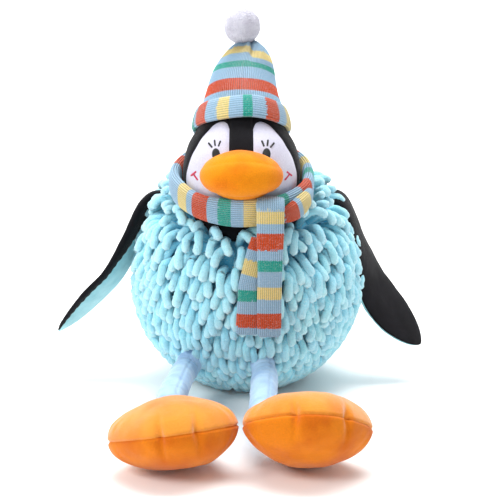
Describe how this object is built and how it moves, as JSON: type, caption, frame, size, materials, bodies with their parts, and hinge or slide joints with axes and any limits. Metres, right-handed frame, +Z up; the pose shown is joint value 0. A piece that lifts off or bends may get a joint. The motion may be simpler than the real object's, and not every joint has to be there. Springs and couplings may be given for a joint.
{
  "type": "plush penguin toy",
  "caption": "Seated plush penguin with a round shaggy chenille body, padded beak and feet, flat wings, and a striped knitted bobble hat and scarf.",
  "frame": {"origin": "centre of the round base that the toy sits on", "axes": "+Z up; -Y the way the face looks; +X towards the toy's own left wing"},
  "size_m": [0.3905, 0.4082, 0.388],
  "materials": {
    "aqua_chenille": "matte",
    "stuffing": "matte",
    "pellet_pouch": "matte",
    "black_plush": "matte",
    "blue_cloth": "satin",
    "striped_knit": "matte",
    "white_plush": "matte",
    "orange_plush": "matte",
    "black_thread": "satin",
    "pink_thread": "satin",
    "white_yarn": "matte"
  },
  "bodies": {
    "torso": {"chenille_base": "aqua_chenille", "chenille_front_left": "aqua_chenille", "chenille_front_right": "aqua_chenille", "chenille_back_left": "aqua_chenille", "chenille_back_right": "aqua_chenille", "body_stuffing": "stuffing", "pellet_pouch": "pellet_pouch", "neck_yoke": "black_plush", "hip_root_left": "blue_cloth", "hip_root_right": "blue_cloth", "scarf_wrap": "striped_knit", "scarf_crossing": "striped_knit"},
    "front_scarf_tail": {"scarf_tail_front": "striped_knit"},
    "rear_scarf_tail": {"scarf_tail_rear": "striped_knit"},
    "neck": {"neck_collar": "black_plush", "neck_stuffing": "stuffing"},
    "head": {"head_gusset": "black_plush", "head_side_left": "black_plush", "head_side_right": "black_plush", "face_panel_left": "white_plush", "face_panel_right": "white_plush", "head_stuffing": "stuffing", "beak_upper": "orange_plush", "beak_underside": "orange_plush", "beak_stuffing": "stuffing", "eye_left": "black_thread", "smile_left": "pink_thread", "eye_right": "black_thread", "smile_right": "pink_thread", "eyelash_left_1": "black_thread", "eyelash_left_2": "black_thread", "eyelash_left_3": "black_thread", "eyelash_right_1": "black_thread", "eyelash_right_2": "black_thread", "eyelash_right_3": "black_thread"},
    "hat": {"hat_crown": "striped_knit", "hat_cuff": "striped_knit"},
    "pompom": {"pompom": "white_yarn"},
    "shoulder_left": {"shoulder_root_left": "black_plush"},
    "wing_left": {"wing_outer_left": "black_plush", "wing_inner_left": "blue_cloth", "wing_padding_left": "stuffing"},
    "shoulder_right": {"shoulder_root_right": "black_plush"},
    "wing_right": {"wing_outer_right": "black_plush", "wing_inner_right": "blue_cloth", "wing_padding_right": "stuffing"},
    "leg_left": {"leg_cover_left": "blue_cloth", "leg_stuffing_left": "stuffing"},
    "foot_left": {"foot_upper_left": "orange_plush", "foot_sole_left": "orange_plush", "foot_stuffing_left": "stuffing", "toe_stitch_left_1": "orange_plush", "toe_stitch_left_2": "orange_plush"},
    "leg_right": {"leg_cover_right": "blue_cloth", "leg_stuffing_right": "stuffing"},
    "foot_right": {"foot_upper_right": "orange_plush", "foot_sole_right": "orange_plush", "foot_stuffing_right": "stuffing", "toe_stitch_right_1": "orange_plush", "toe_stitch_right_2": "orange_plush"}
  },
  "joints": [
    {"name": "neck_turn", "type": "hinge", "parent": "torso", "child": "neck", "pos_m": [0, -0.05173, 0.22006], "axis": [0, -0.4384, 0.8988], "range_deg": [-30, 30]},
    {"name": "head_nod", "type": "hinge", "parent": "neck", "child": "head", "pos_m": [0, -0.05173, 0.22006], "axis": [1, 0, 0], "range_deg": [-1, 5]},
    {"name": "hat_lift", "type": "slide", "parent": "head", "child": "hat", "axis": [0, 0.3827, 0.9239], "range_m": [0, 0.09]},
    {"name": "pompom_wobble", "type": "hinge", "parent": "hat", "child": "pompom", "pos_m": [-0.0045, -0.01566, 0.34907], "axis": [0, -0.9239, 0.3827], "range_deg": [-15, 15]},
    {"name": "front_tail_lift", "type": "hinge", "parent": "torso", "child": "front_scarf_tail", "pos_m": [0.022, -0.1225, 0.207], "axis": [-1, 0, 0], "range_deg": [0, 75]},
    {"name": "rear_tail_swing", "type": "hinge", "parent": "torso", "child": "rear_scarf_tail", "pos_m": [0.0135, -0.1145, 0.1775], "axis": [0, 1, 0], "range_deg": [0, 50]},
    {"name": "left_wing_swing", "type": "hinge", "parent": "torso", "child": "shoulder_left", "pos_m": [0.08595, 0.006, 0.20594], "axis": [0.6821, 0.0476, 0.7297], "range_deg": [-35, 35]},
    {"name": "left_wing_raise", "type": "hinge", "parent": "shoulder_left", "child": "wing_left", "pos_m": [0.08595, 0.006, 0.20594], "axis": [0, -1, 0], "range_deg": [0, 60]},
    {"name": "right_wing_swing", "type": "hinge", "parent": "torso", "child": "shoulder_right", "pos_m": [-0.08595, 0.006, 0.20594], "axis": [-0.6821, 0.0476, 0.7297], "range_deg": [-35, 35]},
    {"name": "right_wing_raise", "type": "hinge", "parent": "shoulder_right", "child": "wing_right", "pos_m": [-0.08595, 0.006, 0.20594], "axis": [0, 1, 0], "range_deg": [0, 60]},
    {"name": "left_leg_swing", "type": "hinge", "parent": "torso", "child": "leg_left", "pos_m": [0.01725, -0.1089, 0.03963], "axis": [1, 0, 0], "range_deg": [-35, 85]},
    {"name": "left_foot_flex", "type": "hinge", "parent": "leg_left", "child": "foot_left", "pos_m": [0.014, -0.219, 0.037], "axis": [1, 0, 0], "range_deg": [-20, 30]},
    {"name": "right_leg_swing", "type": "hinge", "parent": "torso", "child": "leg_right", "pos_m": [-0.06005, -0.09247, 0.03963], "axis": [1, 0, 0], "range_deg": [-35, 85]},
    {"name": "right_foot_flex", "type": "hinge", "parent": "leg_right", "child": "foot_right", "pos_m": [-0.066, -0.208, 0.05], "axis": [1, 0, 0], "range_deg": [-20, 30]}
  ]
}
